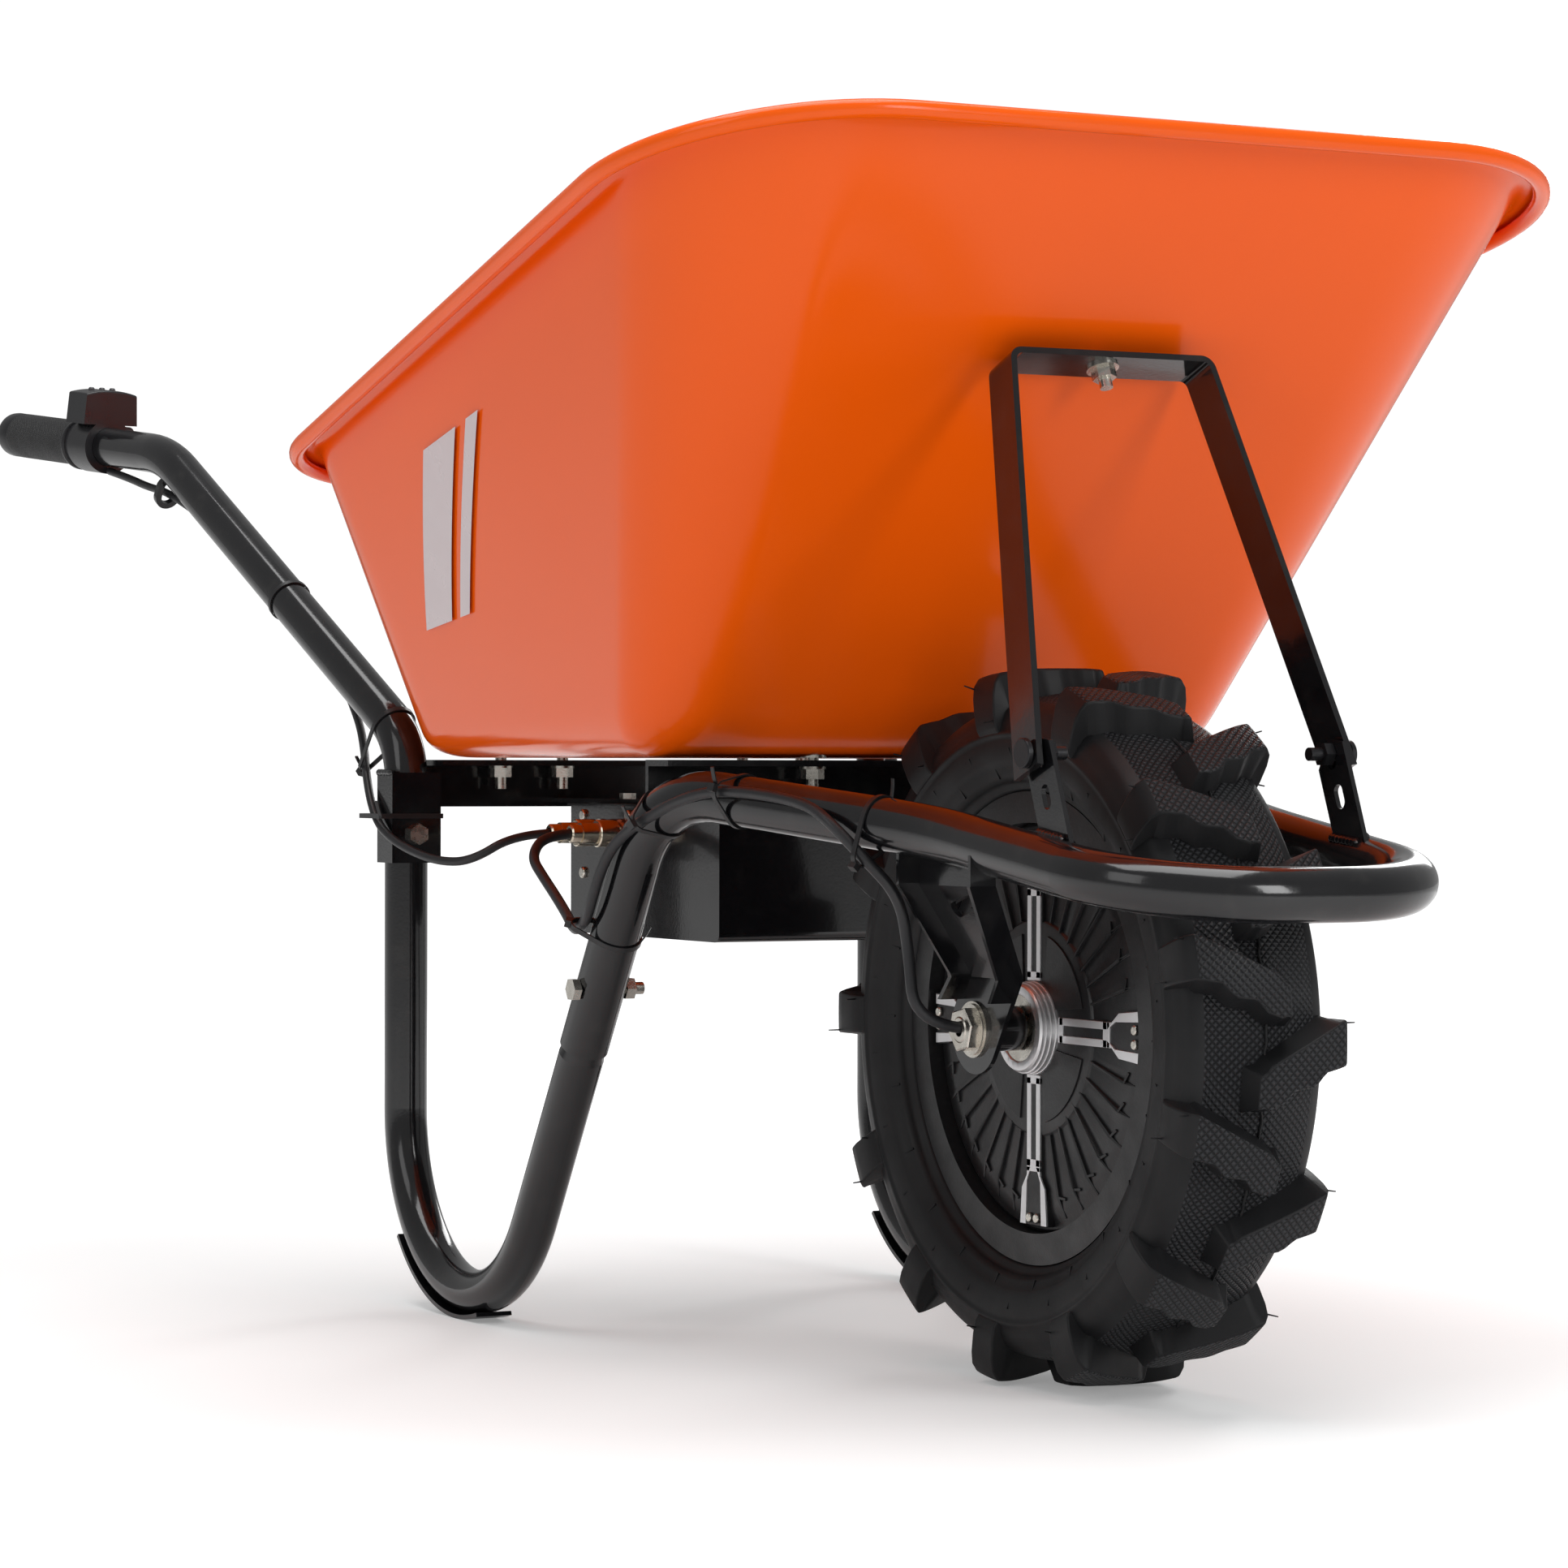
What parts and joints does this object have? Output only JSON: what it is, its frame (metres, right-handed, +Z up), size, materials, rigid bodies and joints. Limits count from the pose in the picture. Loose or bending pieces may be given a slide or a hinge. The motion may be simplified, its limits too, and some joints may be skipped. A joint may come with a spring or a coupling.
{
  "type": "powered wheelbarrow",
  "caption": "Battery powered wheelbarrow with a pressed steel tray, tubular frame, hub motor wheel with a chevron tyre, nose brace and a thumb throttle.",
  "frame": {"origin": "on the ground under the middle of the whole object", "axes": "+X towards the wheel, +Y to the left of a person at the handles, +Z up"},
  "size_m": [1.484, 0.6546, 0.752],
  "materials": {
    "frame_black": "gloss black enamel",
    "tray_orange": "gloss orange enamel",
    "grip_rubber": "matt moulded rubber",
    "control_plastic": "satin moulded plastic",
    "button_red": "smooth",
    "lamp_lens": "smooth",
    "cable_black": "satin PVC",
    "zinc_steel": "bright zinc plating",
    "bolt_black": "black oxide",
    "nickel": "knurled nickel plating",
    "motor_black": "satin black",
    "controller_alloy": "satin",
    "copper": "enamelled copper wire",
    "stator_steel": "laminated steel",
    "tyre_rubber": "matt rubber"
  },
  "bodies": {
    "frame": {"axle": "zinc_steel", "axle_nuts": "zinc_steel", "axle_spacers": "frame_black", "axle_washers": "zinc_steel", "battery_pack": "control_plastic", "brace": "frame_black", "brace_fastener": "zinc_steel", "brace_pad": "grip_rubber", "bracket_bolts": "zinc_steel", "bracket_left": "frame_black", "bracket_right": "frame_black", "cable_hook": "frame_black", "cable_ties": "cable_black", "case_body": "frame_black", "case_hangers": "frame_black", "case_lid": "frame_black", "connector_plate": "frame_black", "controller": "controller_alloy", "fork_left": "frame_black", "fork_right": "frame_black", "front_hoop": "frame_black", "front_rail": "frame_black", "grip_left": "grip_rubber", "grip_right": "grip_rubber", "handle_left": "frame_black", "handle_right": "frame_black", "hanger_bolts": "zinc_steel", "harness_cable": "cable_black", "indicator_lamps": "lamp_lens", "leg_joint_bolts": "zinc_steel", "leg_left": "frame_black", "leg_right": "frame_black", "leg_skids": "frame_black", "motor_cable": "cable_black", "motor_connector": "nickel", "plate_screws": "zinc_steel", "rear_rail": "frame_black", "stator": "stator_steel", "tab_bolts": "bolt_black", "tab_left": "frame_black", "tab_right": "frame_black", "throttle_connector": "nickel", "throttle_housing": "control_plastic", "tray": "tray_orange", "tray_bolts": "zinc_steel", "windings": "copper"},
    "wheel": {"tyre": "tyre_rubber", "rim": "motor_black", "magnet_ring": "stator_steel", "cover_left": "motor_black", "cover_right": "motor_black", "cover_screws": "zinc_steel", "bearing_left": "zinc_steel", "bearing_right": "zinc_steel"},
    "thumb_lever": {"thumb_lever": "control_plastic"},
    "power_button": {"power_button": "button_red"}
  },
  "joints": [
    {"name": "wheel_spin", "type": "hinge", "parent": "frame", "child": "wheel", "pos_m": [0.4733, 0, 0.2175], "axis": [0, 1, 0], "continuous": true},
    {"name": "lever_press", "type": "hinge", "parent": "frame", "child": "thumb_lever", "pos_m": [-0.61502, -0.2532, 0.62803], "axis": [-0.9843, -0.1324, 0.1166], "range_deg": [0, 28], "stiffness_Nm_per_rad": 0.2, "springref_deg": -11.46},
    {"name": "button_press", "type": "slide", "parent": "frame", "child": "power_button", "axis": [0.9843, 0.1324, -0.1166], "range_m": [0, 0.002], "stiffness_N_per_m": 400, "springref_m": -0.003}
  ]
}
